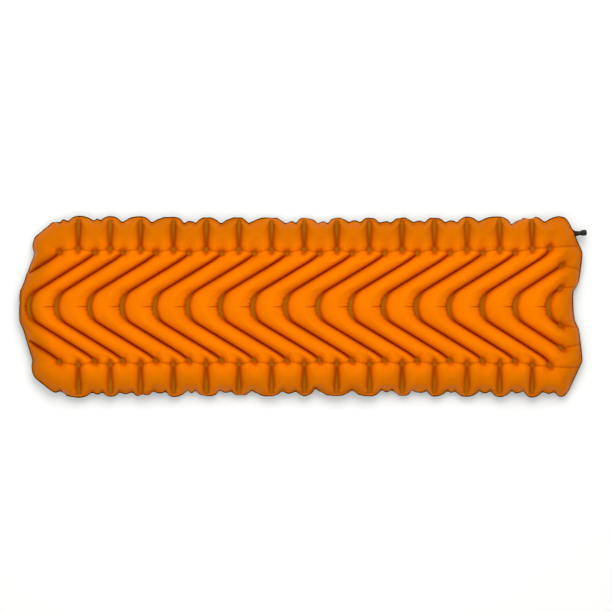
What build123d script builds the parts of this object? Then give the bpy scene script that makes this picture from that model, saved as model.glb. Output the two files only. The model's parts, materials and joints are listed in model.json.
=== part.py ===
"""Inflatable sleeping pad for hiking.

Two coated fabric sheets are welded to each other round the edge, along seventeen chevron lines down the middle
and along short cross lines that divide the two side rails into cells. A screw valve stands out of one corner
at the head end: turning its cap one turn draws it outwards off a fixed plug and lets the air through.

Frame: millimetres, +X from the foot end to the head end, +Y across the pad towards the valve's side, +Z up.
The origin is the centre of the underside, on the surface that the pad lies on.
Each sheet is a shell that follows the chambers. The welds lie in the plane halfway up.
"""

from build123d import *
import math
import os

# Pad
LENGTH = 1830.0
WIDTH = 592.0
THICKNESS = 65.0
SHEET = 1.0  # wall of each sheet
FLANGE = 8.0  # welded margin outside the chambers
MID = THICKNESS / 2  # height of the weld plane
RIM_ROUND = 26.0  # how the chambers round off towards the perimeter weld
RIM_CLEAR = 2.0  # how far the rounding's top lies above the crowns
CROWN_TRIM = 1.2  # how far each crown is flattened, as the ground flattens the underside

# Chevron welds and the chambers between them
CHEVRONS = 17
PITCH = 106.6
FIRST_GAP = 90.0  # the first two chevrons are closer together
SECOND_APEX_X = -795.0
LEG_ANGLE = 34.0  # between a chevron's leg and the X axis
APEX_RADIUS = 66.0
APEX_STEPS = 3  # straight spans on each side of the apex that stand for its arc
LEG_END_Y = 166.0  # a chamber keeps its full section up to here, then tapers into the rail
TAPER = [(184.0, 0.85), (198.0, 0.45)]  # (distance from the centre line, share of the full section)
WELD_GAP = 9.0  # width of a weld, measured along X

# Side rails
RAIL_INNER_Y = 160.0
RAIL_CELLS = 14  # cells between cross welds; one more at each end runs to the end of the pad
FIRST_CROSS_X = -732.0
CELL_ARCH = 70.0  # height of the arch that pinches a cell at its cross welds

# Pocket across the head end, beyond the last chevrons
POCKET_X = 852.0
POCKET_HALF = 190.0

# Outline corners of the foot end, the head end and its middle notch: (x, y, rounding radius)
FOOT_CORNERS = [(-LENGTH / 2, 50.0, 90.0), (-860.0, 150.0, 40.0), (-852.0, WIDTH / 2, 135.0)]
HEAD_CORNERS = [(890.0, WIDTH / 2, 105.0), (916.2, 105.0, 60.0)]
HEAD_NOTCH = (884.0, 0.0, 60.0)

# Valve. Its own axis, S, points outwards from its place in the perimeter weld. IN, AT and OUT are S values,
# R is a radius
VALVE_POINT = (898.0, 238.0)
VALVE_TILT = 6.0  # the axis turns this far from +X towards +Y
BOOT_WIDTH, BOOT_HEIGHT = 36.0, 18.0
BOOT_IN, BOOT_OUT = -21.0, 2.0
SLEEVE_IN, SLEEVE_OUT = -18.0, 1.0  # the stretch of boot that the sheets wrap
ROOT_R, ROOT_IN = 5.6, -18.0
BARB_R, BARB_LENGTH = 6.3, 2.5
BARBS_AT = [-15.0, -10.0]
COLLAR_R, COLLAR_OUT = 7.6, 5.0
NECK_R, NECK_OUT = 7.15, 11.0
SPOUT_R, SPOUT_OUT = 5.4, 23.0
BORE_R = 3.8
STOP_R, STOP_IN, STOP_OUT = 6.5, 17.6, 21.2
GROOVE_R, GROOVE_IN, GROOVE_OUT = 4.95, 18.5, 20.3
SEAL_WIRE_R = 0.9
SPOKES, SPOKE_IN, SPOKE_OUT, SPOKE_WIDTH = 3, 17.0, 21.0, 1.4
POST_R, POST_OUT = 1.5, 29.0
BEAD_R, BEAD_AT = 2.1, 28.0
PLUG_R, PLUG_IN, PLUG_OUT = 3.2, 25.5, 30.2
CAP_IN, CAP_OUT = 11.3, 31.0
SKIRT_R, CAP_R, CAP_ROUND = 8.0, 9.7, 5.2
TAPER_IN, TAPER_OUT = 13.5, 16.5
CAP_BORE_R, CAP_BORE_OUT = 6.8, 26.5
FLUTES, FLUTE_R, FLUTE_DEPTH = 14, 1.3, 0.6
FLUTE_IN, FLUTE_OUT = 15.0, 23.0
CLIP_IN, CLIP_THICK, CLIP_R, CLIP_SLOT = 11.9, 1.0, 7.2, 1.6
PLAY = 0.05  # clearance of a part that turns or slides on another


def apexes():
    """X of every chevron's apex on the centre line, and of one more beyond each end of the pad."""
    second_on = [SECOND_APEX_X + number * PITCH for number in range(CHEVRONS)]
    first = SECOND_APEX_X - FIRST_GAP
    return [first - PITCH, first] + second_on


def chevron_x(y):
    """How far a chevron line at this y lies beyond its own apex."""
    angle = math.radians(LEG_ANGLE)
    arc_y = APEX_RADIUS * math.cos(angle)
    if abs(y) <= arc_y:
        return APEX_RADIUS - math.sqrt(APEX_RADIUS**2 - y**2)
    return APEX_RADIUS * (1 - math.sin(angle)) + (abs(y) - arc_y) / math.tan(angle)


def stations():
    """(y, share of the full section) wherever a chevron chamber gets a section, from one end to the other."""
    arc_y = APEX_RADIUS * math.cos(math.radians(LEG_ANGLE))
    arc = [(arc_y * step / APEX_STEPS, 1.0) for step in range(1, APEX_STEPS + 1)]
    upper = arc + [(LEG_END_Y, 1.0)] + TAPER
    return [(-y, share) for y, share in reversed(upper)] + [(0.0, 1.0)] + upper


def half_ellipse(plane, width, height):
    """The upper half of an ellipse as a wire on a plane, its flat side centred on the plane's origin."""
    arc = EllipticalCenterArc((0, 0), width / 2, height, start_angle=0, arc_size=180)
    return plane * Wire([arc.edge(), Edge.make_line((-width / 2, 0), (width / 2, 0))])


def chevron_chamber(x_from, x_to, height, inset):
    """The solid under one chevron chamber, between the welds whose apexes are at x_from and x_to."""
    sections = []
    for y, share in stations():
        origin = ((x_from + x_to) / 2 + chevron_x(y), y, 0)
        plane = Plane(origin, x_dir=(1, 0, 0), z_dir=(0, -1, 0))
        width = (x_to - x_from - WELD_GAP) * share
        sections.append(half_ellipse(plane, width - 2 * inset, height * share - inset))
    return Solid.make_loft(sections, ruled=True)


def rail_cell(x_from, x_to, side, height, inset):
    """The solid under one rail cell: an arch along the rail, pinched by a taller arch across it."""
    y_from, y_to = RAIL_INNER_Y, WIDTH / 2 - FLANGE
    plane = Plane((x_from, side * (y_from + y_to) / 2, 0), x_dir=(0, 1, 0), z_dir=(1, 0, 0))
    section = Face(half_ellipse(plane, y_to - y_from - 2 * inset, height - inset))
    along = Solid.extrude(section, Vector(x_to - x_from, 0, 0))
    plane = Plane(((x_from + x_to) / 2, 0, 0), x_dir=(1, 0, 0), z_dir=(0, -1, 0))
    section = Face(half_ellipse(plane, x_to - x_from - WELD_GAP - 2 * inset, CELL_ARCH - inset))
    across = Solid.extrude(section, Vector(0, side * WIDTH, 0))
    return along.intersect(across).solids()[0]


def head_pocket(height, inset):
    """The solid under the open pocket that runs across the head end."""
    width = LENGTH / 2 - FLANGE - POCKET_X
    plane = Plane((POCKET_X + width / 2, -POCKET_HALF, 0), x_dir=(1, 0, 0), z_dir=(0, 1, 0))
    section = Face(half_ellipse(plane, width - 2 * inset, height - inset))
    return Solid.extrude(section, Vector(0, 2 * POCKET_HALF, 0))


def outline():
    """The pad's outline as a face on the weld plane."""
    upper = FOOT_CORNERS + HEAD_CORNERS
    lower = [(x, -y, radius) for x, y, radius in reversed(upper)]
    corners = upper + [HEAD_NOTCH] + lower
    points = [(x, y) for x, y, _ in corners]
    radii = [radius for _, _, radius in corners]
    return make_face(FilletPolyline(*points, radius=radii, close=True))


def rounded_slab(height, inset):
    """A slab inside the perimeter weld, just clear of the crowns, whose rounded rim trims the outer chambers."""
    slab = extrude(offset(outline(), amount=-FLANGE - inset), amount=height + RIM_CLEAR - inset)
    rim = slab.faces().sort_by(Axis.Z)[-1].edges()
    return fillet(rim, RIM_ROUND)


def chambers(height, inset):
    """Every chamber's solid on the weld plane: the outside at inset 0, the air space at inset SHEET."""
    slab = rounded_slab(height, inset)
    lines = apexes()
    found = [chevron_chamber(a, b, height, inset) for a, b in zip(lines, lines[1:])]
    found.append(head_pocket(height, inset))
    crosses = [FIRST_CROSS_X + number * PITCH for number in range(RAIL_CELLS + 1)]
    crosses = [-LENGTH / 2] + crosses + [LENGTH / 2]
    for side in (1, -1):
        found += [rail_cell(a, b, side, height, inset) for a, b in zip(crosses, crosses[1:])]
    trimmed = [slab & chamber for chamber in found]
    return [piece for shape in trimmed for piece in shape.solids()]


def turned(points):
    """A solid of revolution about the valve's axis from (S, radius) points, at the valve's place on the weld plane."""
    return at_valve(revolve(make_face(Polyline(*points, close=True)), Axis.X))


def at_valve(shape):
    """A shape drawn with the valve's axis along X, moved to the valve's place on the weld plane."""
    return Pos(*VALVE_POINT, 0) * Rot(0, 0, VALVE_TILT) * shape


def lens(s_from, s_to, grow):
    """A bar of lens-shaped section along the valve's axis, its surface moved out by grow."""
    half, rise = BOOT_WIDTH / 2, BOOT_HEIGHT / 2
    radius = (half**2 + rise**2) / (2 * rise)
    plane = Plane((s_from, 0, 0), x_dir=(0, 1, 0), z_dir=(1, 0, 0))
    disc = Circle(radius + grow)
    section = Pos(0, radius - rise) * disc & Pos(0, rise - radius) * disc
    return at_valve(extrude(plane * section, amount=s_to - s_from))


def sheet():
    """The upper sheet on the weld plane, its crowns flattened at half the pad's thickness."""
    height = MID + CROWN_TRIM
    skin = extrude(outline(), amount=SHEET).fuse(*chambers(height, 0.0)).fuse(lens(SLEEVE_IN, SLEEVE_OUT, SHEET))
    ceiling = Pos(0, 0, MID / 2 - SHEET) * Box(2 * LENGTH, 2 * WIDTH, MID)
    air = [ceiling & space for space in chambers(height, SHEET)]
    above = Pos(0, 0, 3 * MID / 2) * Box(2 * LENGTH, 2 * WIDTH, MID)
    below = Pos(0, 0, -MID) * Box(2 * LENGTH, 2 * WIDTH, 2 * MID)
    return skin.cut(*air, lens(BOOT_IN, BOOT_OUT, 0.0), above, below)


def valve_stem():
    """The hard tube of the valve: barbed root, collar, neck, spout with the seal's groove, and the plug's post."""
    root = [(ROOT_IN, BORE_R), (ROOT_IN, ROOT_R)]
    for barb in BARBS_AT:
        root += [(barb, ROOT_R), (barb + BARB_LENGTH, BARB_R), (barb + BARB_LENGTH, ROOT_R)]
    collar = [(BOOT_OUT, ROOT_R), (BOOT_OUT, COLLAR_R), (COLLAR_OUT, COLLAR_R), (COLLAR_OUT, NECK_R)]
    neck = [(NECK_OUT, NECK_R), (NECK_OUT, SPOUT_R), (STOP_IN, SPOUT_R), (STOP_IN, STOP_R)]
    groove = [(GROOVE_IN, STOP_R), (GROOVE_IN, GROOVE_R), (GROOVE_OUT, GROOVE_R), (GROOVE_OUT, STOP_R)]
    spout = [(STOP_OUT, STOP_R), (STOP_OUT, SPOUT_R), (SPOUT_OUT, SPOUT_R), (SPOUT_OUT, BORE_R)]
    tube = turned(root + collar + neck + groove + spout)
    reach = (POST_R / 2 + BORE_R + PLAY) / 2
    bar = Pos((SPOKE_IN + SPOKE_OUT) / 2, 0, reach) * Box(SPOKE_OUT - SPOKE_IN, SPOKE_WIDTH, BORE_R - POST_R / 2)
    spokes = [at_valve(Rot(360 / SPOKES * number, 0, 0) * bar) for number in range(SPOKES)]
    return tube.fuse(post(), *spokes)


def post():
    """The rod on the valve's axis that carries the plug, with a bead that holds the plug on."""
    side = [(SPOKE_IN, 0), (SPOKE_IN, POST_R), (BEAD_AT - BEAD_R + POST_R, POST_R), (BEAD_AT, BEAD_R)]
    tip = [(BEAD_AT + BEAD_R - POST_R, POST_R), (POST_OUT, POST_R), (POST_OUT, 0)]
    return turned(side + tip)


def valve_boot():
    """The soft lens-shaped flange that is welded between the sheets, moulded round the stem's root."""
    return lens(BOOT_IN, BOOT_OUT, 0.0) - stem_filled(BOOT_OUT)


def stem_filled(s_to):
    """The stem's root as a solid bar up to s_to, with the bore run out through its inner end."""
    side = [(BOOT_IN, 0), (BOOT_IN, BORE_R), (ROOT_IN, BORE_R), (ROOT_IN, ROOT_R)]
    for barb in BARBS_AT:
        side += [(barb, ROOT_R), (barb + BARB_LENGTH, BARB_R), (barb + BARB_LENGTH, ROOT_R)]
    return turned(side + [(s_to, ROOT_R), (s_to, 0)])


def plug_seal():
    """The rubber plug on the post's end, which fills the cap's mouth when the cap is screwed in."""
    nose = 1.0
    body = turned([(PLUG_IN, 0), (PLUG_IN, PLUG_R), (PLUG_OUT - nose, PLUG_R), (PLUG_OUT, PLUG_R - nose), (PLUG_OUT, 0)])
    return body - post()


def stem_seal():
    """The O-ring in the stem's groove, which seals on the cap's bore."""
    ring = Torus(GROOVE_R + SEAL_WIRE_R, SEAL_WIRE_R)
    return at_valve(Pos((GROOVE_IN + GROOVE_OUT) / 2, 0, 0) * Rot(0, 90, 0) * ring)


def valve_cap():
    """The screw cap: fluted grip with a rounded end, a mouth that fits the plug, and a groove for the clip."""
    outside = Polyline(
        (CAP_IN, CAP_BORE_R), (CAP_IN, SKIRT_R), (TAPER_IN, SKIRT_R), (TAPER_OUT, CAP_R), (CAP_OUT - CAP_ROUND, CAP_R)
    )
    rounding = JernArc(outside @ 1, (1, 0), CAP_ROUND, -90)
    mouth = PLUG_R + PLAY
    inside = Polyline(
        rounding @ 1, (CAP_OUT, mouth + 0.6), (CAP_OUT - 0.6, mouth), (CAP_BORE_OUT, mouth), (CAP_BORE_OUT, CAP_BORE_R),
        (CAP_IN, CAP_BORE_R)
    )
    body = at_valve(revolve(make_face([outside, rounding, inside]), Axis.X))
    slot_in, slot_out = CLIP_IN - PLAY, CLIP_IN + CLIP_THICK + PLAY
    slot = turned([(slot_in, 0), (slot_in, CLIP_R + PLAY), (slot_out, CLIP_R + PLAY), (slot_out, 0)])
    flute = Pos((FLUTE_IN + FLUTE_OUT) / 2, 0, CAP_R + FLUTE_R - FLUTE_DEPTH)
    flute = flute * Rot(0, 90, 0) * Cylinder(FLUTE_R, FLUTE_OUT - FLUTE_IN)
    flutes = [at_valve(Rot(360 / FLUTES * number, 0, 0) * flute) for number in range(FLUTES)]
    return body.cut(slot, *flutes)


def cap_clip():
    """The split ring in the cap's skirt. It slides on the spout and meets the stop when the cap is fully out."""
    bore, slide_out = SPOUT_R + PLAY, CLIP_IN + CLIP_THICK
    ring = turned([(CLIP_IN, bore), (CLIP_IN, CLIP_R), (slide_out, CLIP_R), (slide_out, bore)])
    gap = Pos(CLIP_IN + CLIP_THICK / 2, 0, CLIP_R) * Box(2 * CLIP_THICK, CLIP_SLOT, CLIP_R)
    return ring - at_valve(gap)


def main():
    """Build each piece on the weld plane, lift it to its height and write it to a STEP file."""
    upper = sheet()
    nodes = {
        "top_sheet": upper,
        "bottom_sheet": mirror(upper, about=Plane.XY),
        "valve_boot": valve_boot(),
        "valve_stem": valve_stem(),
        "plug_seal": plug_seal(),
        "stem_seal": stem_seal(),
        "valve_cap": valve_cap(),
        "cap_clip": cap_clip(),
    }
    os.makedirs("parts", exist_ok=True)
    for name, shape in nodes.items():
        export_step(Pos(0, 0, MID) * shape, f"parts/{name}.step")


main()
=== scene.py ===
"""Inflatable sleeping pad: welded fabric sheets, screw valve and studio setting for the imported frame.

The two sheets are cut and welded flat, then blown up. The script does the same: it lays out the flat
pattern with its welds, meshes it, and inflates both sheets as cloth whose rest shape is the flat cut.
"""

import json
import logging
import math
from dataclasses import dataclass, field
from enum import Enum

import bmesh
import bpy
import numpy as np
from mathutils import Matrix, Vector, kdtree
from mathutils.geometry import delaunay_2d_cdt

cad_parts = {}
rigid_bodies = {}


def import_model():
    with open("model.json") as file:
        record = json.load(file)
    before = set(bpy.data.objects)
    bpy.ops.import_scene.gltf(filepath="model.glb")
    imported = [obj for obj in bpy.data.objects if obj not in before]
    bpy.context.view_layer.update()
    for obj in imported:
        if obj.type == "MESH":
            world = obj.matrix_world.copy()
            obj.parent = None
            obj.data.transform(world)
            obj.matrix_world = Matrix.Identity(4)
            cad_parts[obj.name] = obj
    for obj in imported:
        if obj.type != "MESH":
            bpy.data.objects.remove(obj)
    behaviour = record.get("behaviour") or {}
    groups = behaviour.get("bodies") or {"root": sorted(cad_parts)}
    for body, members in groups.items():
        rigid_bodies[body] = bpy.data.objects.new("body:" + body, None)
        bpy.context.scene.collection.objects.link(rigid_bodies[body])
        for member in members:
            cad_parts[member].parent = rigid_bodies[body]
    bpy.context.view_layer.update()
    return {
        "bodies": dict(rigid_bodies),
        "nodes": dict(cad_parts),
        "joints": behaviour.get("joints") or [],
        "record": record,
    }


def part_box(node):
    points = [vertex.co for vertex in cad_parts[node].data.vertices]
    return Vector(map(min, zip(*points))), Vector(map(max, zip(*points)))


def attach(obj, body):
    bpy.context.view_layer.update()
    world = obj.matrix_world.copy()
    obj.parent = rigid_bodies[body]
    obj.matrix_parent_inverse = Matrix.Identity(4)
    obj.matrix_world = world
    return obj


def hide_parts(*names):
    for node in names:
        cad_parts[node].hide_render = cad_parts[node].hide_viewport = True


log = logging.getLogger("sleeping_pad")
MM = 0.001


def linear(hex_colour: str) -> tuple[float, float, float, float]:
    """Turn an sRGB hex colour into linear RGBA.

    Args:
        hex_colour: six hex digits, such as "F07A10".

    Returns:
        The linear red, green and blue, with an alpha of 1.
    """
    channels = [int(hex_colour[i:i + 2], 16) / 255 for i in (0, 2, 4)]
    red, green, blue = [c / 12.92 if c <= 0.04045 else ((c + 0.055) / 1.055) ** 2.4 for c in channels]
    return red, green, blue, 1.0


def add_node(
    tree: bpy.types.NodeTree, kind: str, settings: dict | None = None, **inputs: object,
) -> bpy.types.Node:
    """Add a node to a tree with its settings and its inputs.

    Args:
        tree: the node tree.
        kind: the node's type name.
        settings: the node's own properties by name.
        inputs: values or output sockets by input name; a name such as "_1" counts the inputs from 0.

    Returns:
        The new node.
    """
    node = tree.nodes.new(kind)
    for name, value in (settings or {}).items():
        setattr(node, name, value)
    for name, value in inputs.items():
        socket = node.inputs[int(name[1:])] if name.startswith("_") else node.inputs[name.replace("_", " ")]
        if isinstance(value, bpy.types.NodeSocket):
            tree.links.new(value, socket)
        else:
            socket.default_value = value
    return node


# ---------------------------------------------------------------------------------------------- flat pattern


class WeldKind(Enum):
    """The lines along which the two sheets are welded inside the perimeter."""

    CHEVRON = "chevron"
    STUB = "corner leg of a chevron"
    CROSS = "cross weld of a side rail"


def add_object(name: str, data: bpy.types.ID) -> bpy.types.Object:
    """Make an object from its data and put it into the scene."""
    made = bpy.data.objects.new(name, data)
    bpy.context.scene.collection.objects.link(made)
    return made


def run_along(line: np.ndarray) -> np.ndarray:
    """Distance of each point along a line from its first point."""
    return np.concatenate([[0.0], np.cumsum(np.linalg.norm(np.diff(line, axis=0), axis=1))])


@dataclass
class Weld:
    """One weld line: its middle line on the flat cut, and half its width at each point."""

    kind: WeldKind
    middle: np.ndarray
    half_width: np.ndarray

    @property
    def two_ended(self) -> bool:
        """Whether the weld has a dot at both ends."""
        return self.kind is WeldKind.CHEVRON

    def along(self) -> np.ndarray:
        """Distance of each point along the weld from its first point."""
        return run_along(self.middle)

    def from_middle(self) -> np.ndarray:
        """Signed distance of each point from a chevron's apex, or a metre on the other welds."""
        run = self.along()
        return run - run[-1] / 2 if self.two_ended else np.ones(len(run))


@dataclass(frozen=True)
class Chevron:
    """The line of a chevron weld: a round apex at the origin between two legs that open towards +X."""

    leg_angle: float
    apex_radius: float
    leg_length: float
    hook_length: float = 45 * MM  # the last stretch of a leg, which bends outwards

    @property
    def arc_y(self) -> float:
        """Distance from the middle line at which the arc meets the leg."""
        return self.apex_radius * math.cos(self.leg_angle)

    @property
    def end_y(self) -> float:
        """Distance from the middle line to the end of a leg."""
        return self.arc_y + self.leg_length * math.sin(self.leg_angle)

    def offset(self, y: np.ndarray) -> np.ndarray:
        """How far the line lies beyond its apex at each y, held constant past the legs' ends."""
        away = np.minimum(np.abs(y), self.end_y)
        arc = self.apex_radius - np.sqrt(self.apex_radius ** 2 - np.minimum(away, self.arc_y) ** 2)
        leg = np.maximum(away - self.arc_y, 0) / math.tan(self.leg_angle)
        return arc + leg

    def points(self, leg: float, hook: float, step: float) -> np.ndarray:
        """Points along the line.

        Args:
            leg: length of each leg.
            hook: how far the bend at a leg's end moves the end outwards.
            step: distance between points.

        Returns:
            The points from the upper leg's end, round the apex, to the lower leg's end.
        """
        start = np.array([self.apex_radius * (1 - math.sin(self.leg_angle)), self.arc_y])
        direction = np.array([math.cos(self.leg_angle), math.sin(self.leg_angle)])
        run = np.arange(leg, 0, -step)[:, None]
        bend = hook * np.maximum(1 - (leg - run) / self.hook_length, 0) ** 2
        upper = start + run * direction + bend * [0, 1]
        half_turn = math.pi / 2 - self.leg_angle
        turn = np.linspace(half_turn, -half_turn, max(2, round(2 * half_turn * self.apex_radius / step)))
        arc = self.apex_radius * np.stack([1 - np.cos(turn), np.sin(turn)], 1)
        return np.concatenate([upper, arc, upper[::-1] * [1, -1]])


def rounded_outline(corners: list[tuple[float, float, float]], step: float) -> np.ndarray:
    """Points at an even spacing round a polygon with rounded corners.

    Args:
        corners: (x, y, rounding radius) of each corner in order.
        step: distance between points, adjusted a little to close the loop.

    Returns:
        The points of the closed loop.
    """
    loop = []
    places = [np.array(c[:2]) for c in corners]
    for index, (place, corner) in enumerate(zip(places, corners)):
        before, after = places[index - 1] - place, places[(index + 1) % len(places)] - place
        before, after = before / np.linalg.norm(before), after / np.linalg.norm(after)
        half = math.acos(float(np.clip(before @ after, -1, 1))) / 2
        bisector = (before + after) / np.linalg.norm(before + after)
        centre = place + bisector * corner[2] / math.sin(half)
        spread = math.pi / 2 - half
        side = math.copysign(1.0, float(before[0] * after[1] - before[1] * after[0]))
        facing = math.atan2(-bisector[1], -bisector[0])
        angles = facing - side * np.linspace(-spread, spread, 40)
        loop.append(centre + corner[2] * np.stack([np.cos(angles), np.sin(angles)], 1))
    return even_loop(np.concatenate(loop), step)


def even_loop(points: np.ndarray, step: float) -> np.ndarray:
    """The same closed loop with its points at an even spacing near step."""
    closed = np.concatenate([points, points[:1]])
    run = run_along(closed)
    places = np.linspace(0, run[-1], round(run[-1] / step), endpoint=False)
    return np.stack([np.interp(places, run, closed[:, 0]), np.interp(places, run, closed[:, 1])], 1)


def inside(points: np.ndarray, loop: np.ndarray) -> np.ndarray:
    """Whether each point lies inside a closed loop."""
    x, y = points[:, 0], points[:, 1]
    found = np.zeros(len(points), bool)
    for (x1, y1), (x2, y2) in zip(loop, np.roll(loop, -1, axis=0)):
        crosses = np.nonzero((y1 > y) != (y2 > y))[0]
        if len(crosses):
            reach = x1 + (y[crosses] - y1) * (x2 - x1) / (y2 - y1)
            found[crosses[x[crosses] < reach]] ^= True
    return found


@dataclass(frozen=True)
class FlatPattern:
    """The pad as it is cut and welded, lying flat, in metres, with the second chevron's apex at the origin.

    Inflating draws the welds together, so the flat cut is a third longer than the pad.
    """

    pitch: float = 139.5 * MM
    flat: Chevron = Chevron(math.radians(43), 78.6 * MM, 219 * MM)
    blown: Chevron = Chevron(math.radians(34), 66.0 * MM, 219 * MM)
    blown_pitch: float = 106.6 * MM
    chevrons: int = 17
    first_gap: float = 118.5 * MM
    corner_gap: float = 149 * MM
    rail: float = 118 * MM
    foot_margin: float = 36 * MM
    head_margin: float = 107 * MM
    flange: float = 8 * MM
    leg_half_width: float = 2.2 * MM
    apex_half_width: float = 5.6 * MM
    dot_radius: float = 8 * MM
    cross_half_width: float = 7.5 * MM
    neck_half_width: float = 3.0 * MM

    @property
    def half(self) -> float:
        """Half the width between the perimeter welds."""
        return self.flat.end_y + self.rail

    @property
    def leg_ends(self) -> np.ndarray:
        """Place of each chevron's leg ends along the flat cut, the corner chevron's first."""
        return self.apexes() + float(self.flat.offset(np.array(self.flat.end_y)))

    def apexes(self) -> np.ndarray:
        """Place of each chevron's apex along the flat cut, the corner chevron's first."""
        regular = np.arange(self.chevrons - 1) * self.pitch
        first = -self.first_gap
        return np.concatenate([[first - self.corner_gap, first], regular])

    def outline(self, step: float) -> np.ndarray:
        """The perimeter weld's inner edge on the flat cut."""
        apexes = self.apexes()
        foot, head = apexes[1] - self.foot_margin, apexes[-1] + self.head_margin
        upper = [
            (foot, 0.085, 0.200),
            (foot - 0.045, 0.225, 0.040),
            (foot - 0.037, 0.255, 0.040),
            (foot + 0.065, self.half, 0.090),
            (head - 0.125, self.half, 0.050),
            (head, 0.085, 0.060),
        ]
        lower = [(x, -y, radius) for x, y, radius in reversed(upper)]
        return rounded_outline(upper + lower, step)

    def widened(self, loop: np.ndarray, step: float) -> np.ndarray:
        """A loop moved outwards by the welded margin."""
        along = np.roll(loop, -1, axis=0) - np.roll(loop, 1, axis=0)
        along /= np.linalg.norm(along, axis=1)[:, None]
        area = np.sum(loop[:, 0] * np.roll(loop[:, 1], -1) - loop[:, 1] * np.roll(loop[:, 0], -1))
        outwards = np.stack([along[:, 1], -along[:, 0]], 1) * math.copysign(1.0, area)
        return even_loop(loop + self.flange * outwards, step)

    def welds(self, step: float = 1.5 * MM) -> list[Weld]:
        """Every weld line inside the perimeter."""
        found = []
        for number, line in enumerate(self.chevron_lines(step)):
            if number:
                found.append(Weld(WeldKind.CHEVRON, line, self.chevron_width(line)))
                continue
            on_fabric = inside(line, self.outline(4 * MM))
            for side in (1, -1):
                stub = line[(line[:, 1] * side > 0) & on_fabric][::side]
                found.append(Weld(WeldKind.STUB, stub, self.stub_width(stub)))
        for place in self.cross_places():
            for side in (1, -1):
                away = np.arange(self.cross_start, self.half + 2 * MM, step)
                line = np.stack([np.full(len(away), place), away * side], 1)
                found.append(Weld(WeldKind.CROSS, line, self.cross_width(line)))
        return found

    @property
    def cross_start(self) -> float:
        """Distance from the middle line to the inner end of a cross weld."""
        return self.flat.end_y + 9 * MM

    def chevron_lines(self, step: float) -> list[np.ndarray]:
        """The line of every chevron, the corner one's first. The last three differ, to suit the head end."""
        leg, hook = self.flat.leg_length, 9 * MM
        last = {15: (leg + 12 * MM, 15 * MM), 16: (150 * MM, 3 * MM), 17: (26 * MM, 0.0)}
        return [
            self.flat.points(*last.get(number, (leg, hook)), step) + [apex, 0]
            for number, apex in enumerate(self.apexes())
        ]

    def cross_places(self) -> np.ndarray:
        """Place of each cross weld along the flat cut, midway between two legs' ends."""
        return ((self.leg_ends[:-1] + self.leg_ends[1:]) / 2)[: self.chevrons - 2]

    def folds(self, step: float) -> list[np.ndarray]:
        """The fabric's folds: from dot to dot, and from the last chevrons to the head end."""
        lines = self.chevron_lines(step)
        dots = [line[0] - 0.7 * self.dot_radius * np.array([0.7, 0.7]) for line in lines]
        crosses = [np.array([place, self.cross_start + self.dot_radius]) for place in self.cross_places()]
        upper = []
        for first, cross, second in zip(dots, crosses, dots[1:]):
            upper += [(first, cross), (cross, second)]
        head = self.apexes()[-1] + self.head_margin
        for dot, drift in zip(dots[-3:], (5 * MM, -22 * MM, 8 * MM)):
            upper.append((dot, np.array([head, dot[1] + drift])))
        found = []
        for start, end in upper:
            share = np.linspace(0, 1, max(2, round(float(np.linalg.norm(end - start)) / step)))[:, None]
            line = start + (end - start) * share
            found += [line, line * [1, -1]]
        return found

    def dot(self, along: np.ndarray) -> np.ndarray:
        """Half width of the round dot that ends a weld, at each distance from its end."""
        return np.sqrt(np.maximum(self.dot_radius ** 2 - (along - self.dot_radius) ** 2, 0))

    def chevron_width(self, line: np.ndarray) -> np.ndarray:
        """Half width along a chevron: thin legs, a broader apex and a dot at each end."""
        along = run_along(line)
        middle = along[-1] / 2
        apex = (self.apex_half_width - self.leg_half_width) * np.exp(-((along - middle) / 0.05) ** 4)
        ends = np.maximum(self.dot(along), self.dot(along[-1] - along))
        return np.maximum(self.leg_half_width + apex, ends)

    def stub_width(self, line: np.ndarray) -> np.ndarray:
        """Half width along a corner leg, which has its dot at the inner end."""
        along = run_along(line)
        return np.maximum(self.leg_half_width, self.dot(along))

    def cross_width(self, line: np.ndarray) -> np.ndarray:
        """Half width along a cross weld, which broadens from its dot to the perimeter."""
        along = run_along(line)
        grow = (self.cross_half_width - self.neck_half_width) * (along / along[-1]) ** 1.3
        return np.maximum(self.neck_half_width + grow, self.dot(along))

    def rail_share(self, points: np.ndarray) -> np.ndarray:
        """How far each point lies across its side rail: 0 up to the legs' ends, 1 at the perimeter."""
        return np.clip((np.abs(points[:, 1]) - self.flat.end_y) / self.rail, 0, 1)

    def cell_phase(self, points: np.ndarray) -> np.ndarray:
        """Place of each point within its rail cell: 0 at a cross weld, 1 at the cell's middle."""
        return 0.5 + 0.5 * np.cos(2 * math.pi * self.cell(points))

    def cell(self, points: np.ndarray) -> np.ndarray:
        """Number of each point's rail cell along the pad, with its fraction: whole at the cell's middle."""
        return np.interp(points[:, 0], self.leg_ends, np.arange(len(self.leg_ends)))

    def drawn_together(self, points: np.ndarray) -> np.ndarray:
        """Where inflation takes flat points in the plane, as the start of the simulation."""
        away = np.abs(points[:, 1])
        blown_end = self.blown.end_y
        middle = away * blown_end / self.flat.end_y
        rail = blown_end + (away - self.flat.end_y) * 0.97
        y = np.where(away <= self.flat.end_y, middle, rail)
        apexes = self.apexes()
        blown_apexes = (apexes - apexes[2]) * self.blown_pitch / self.pitch
        line = points[:, 0] - self.flat.offset(points[:, 1])
        inner = np.interp(line, apexes, blown_apexes)
        beyond = line - np.clip(line, apexes[0], apexes[-1])
        x = inner + beyond * self.blown_pitch / self.pitch + self.blown.offset(y)
        fade = np.exp(-((beyond / (25 * MM)) ** 2))
        y -= 16 * MM * self.rail_share(points) ** 2 * self.cell_phase(points) * fade
        return np.stack([x, np.sign(points[:, 1]) * y], 1)


# ------------------------------------------------------------------------------------------------ cloth mesh


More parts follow.
